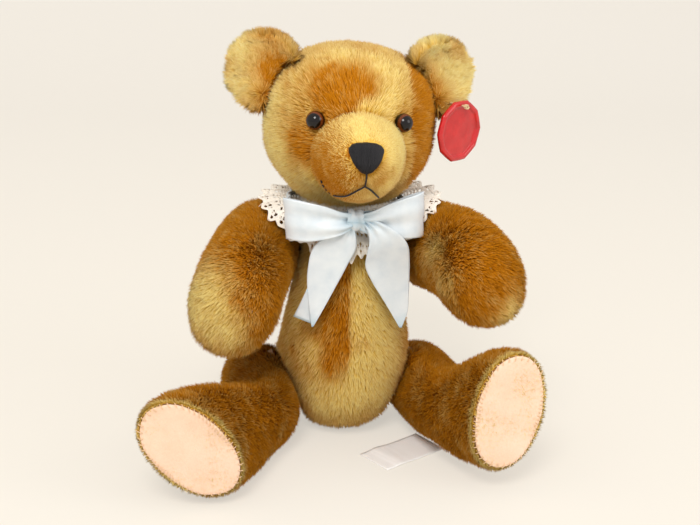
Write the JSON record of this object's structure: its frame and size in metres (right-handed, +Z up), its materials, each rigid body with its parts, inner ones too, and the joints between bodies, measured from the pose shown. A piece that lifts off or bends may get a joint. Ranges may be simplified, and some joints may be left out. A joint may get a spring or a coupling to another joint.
{
  "type": "jointed teddy bear",
  "caption": "Sitting golden mohair teddy bear with cotter-pin joints at neck, shoulders and hips, lace collar, satin ribbon bow and a blank ear seal.",
  "frame": {"origin": "middle of the flat seat under the torso, on the table", "axes": "+Z up through the neck pin, -Y the way the bear looks, +X to the bear's own left"},
  "size_m": [0.2234, 0.155, 0.2333],
  "materials": {
    "mohair": "golden brown mohair pile",
    "short_mohair": "clipped golden brown pile",
    "stuffing": "soft white fibre filling",
    "hardboard": "smooth brown hardboard",
    "washer_steel": "plain steel",
    "pin_steel": "bright drawn steel wire",
    "eye_washer": "white plastic",
    "felt": "smooth pale peach felt",
    "cardboard": "grey-brown board",
    "eye_plastic": "glossy brown with a black pupil",
    "black_thread": "satin stitched thread",
    "lace": "cream cotton lace with eyelets",
    "satin": "pale ice blue satin",
    "red_plastic": "glossy moulded red",
    "label_cloth": "white woven tape",
    "seal_thread": "golden thread"
  },
  "bodies": {
    "torso": {"bow_knot": "satin", "bow_left_loop": "satin", "bow_left_tail": "satin", "bow_right_loop": "satin", "bow_right_tail": "satin", "hip_torso_discs": "hardboard", "hip_torso_washers": "washer_steel", "lace_collar": "lace", "neck_torso_disc": "hardboard", "neck_torso_washer": "washer_steel", "ribbon_band": "satin", "shoulder_torso_discs": "hardboard", "shoulder_torso_washers": "washer_steel", "torso_cover": "mohair", "torso_stuffing": "stuffing"},
    "head": {"eye_washers": "eye_washer", "head_cover": "mohair", "head_stuffing": "stuffing", "left_ear": "mohair", "left_eye": "eye_plastic", "mouth_stitching": "black_thread", "muzzle_cover": "short_mohair", "neck_cotter_pin": "pin_steel", "neck_disc": "hardboard", "neck_washer": "washer_steel", "nose_stitching": "black_thread", "right_ear": "mohair", "right_eye": "eye_plastic", "tag_thread": "seal_thread"},
    "left_arm": {"left_arm_cotter_pin": "pin_steel", "left_arm_cover": "mohair", "left_arm_disc": "hardboard", "left_arm_stuffing": "stuffing", "left_arm_washer": "washer_steel", "left_paw_pad": "felt"},
    "right_arm": {"right_arm_cotter_pin": "pin_steel", "right_arm_cover": "mohair", "right_arm_disc": "hardboard", "right_arm_stuffing": "stuffing", "right_arm_washer": "washer_steel", "right_paw_pad": "felt"},
    "left_leg": {"left_foot_pad": "felt", "left_insole": "cardboard", "left_leg_cotter_pin": "pin_steel", "left_leg_cover": "mohair", "left_leg_disc": "hardboard", "left_leg_stuffing": "stuffing", "left_leg_washer": "washer_steel", "side_label": "label_cloth"},
    "right_leg": {"right_foot_pad": "felt", "right_insole": "cardboard", "right_leg_cotter_pin": "pin_steel", "right_leg_cover": "mohair", "right_leg_disc": "hardboard", "right_leg_stuffing": "stuffing", "right_leg_washer": "washer_steel"},
    "seal": {"ear_seal": "red_plastic"}
  },
  "joints": [
    {"name": "neck_joint", "type": "hinge", "parent": "torso", "child": "head", "pos_m": [0, 0, 0.142], "axis": [0, 0, 1], "range_deg": [-180, 180]},
    {"name": "left_shoulder_joint", "type": "hinge", "parent": "torso", "child": "left_arm", "pos_m": [0.0265, 0.004, 0.1055], "axis": [0.9545, 0.2292, 0.1908], "range_deg": [-28, 9], "deforming": ["lace_collar", "ribbon_band", "bow_left_loop"]},
    {"name": "right_shoulder_joint", "type": "hinge", "parent": "torso", "child": "right_arm", "pos_m": [-0.0265, 0.004, 0.1055], "axis": [-0.9545, 0.2292, 0.1908], "range_deg": [-11, 39], "deforming": ["bow_right_loop"]},
    {"name": "left_hip_joint", "type": "hinge", "parent": "torso", "child": "left_leg", "pos_m": [0.0325, 0.0025, 0.0325], "axis": [0.9239, 0.0776, -0.3746], "range_deg": [-5, 110], "deforming": ["side_label"]},
    {"name": "right_hip_joint", "type": "hinge", "parent": "torso", "child": "right_leg", "pos_m": [-0.0325, 0.0025, 0.0325], "axis": [-0.9269, -0.0243, -0.3746], "range_deg": [-110, 10]},
    {"name": "seal_hinge", "type": "hinge", "parent": "head", "child": "seal", "pos_m": [0.0606, -0.0115, 0.1975], "axis": [-0.809, -0.5878, 0], "range_deg": [-10, 40]}
  ]
}
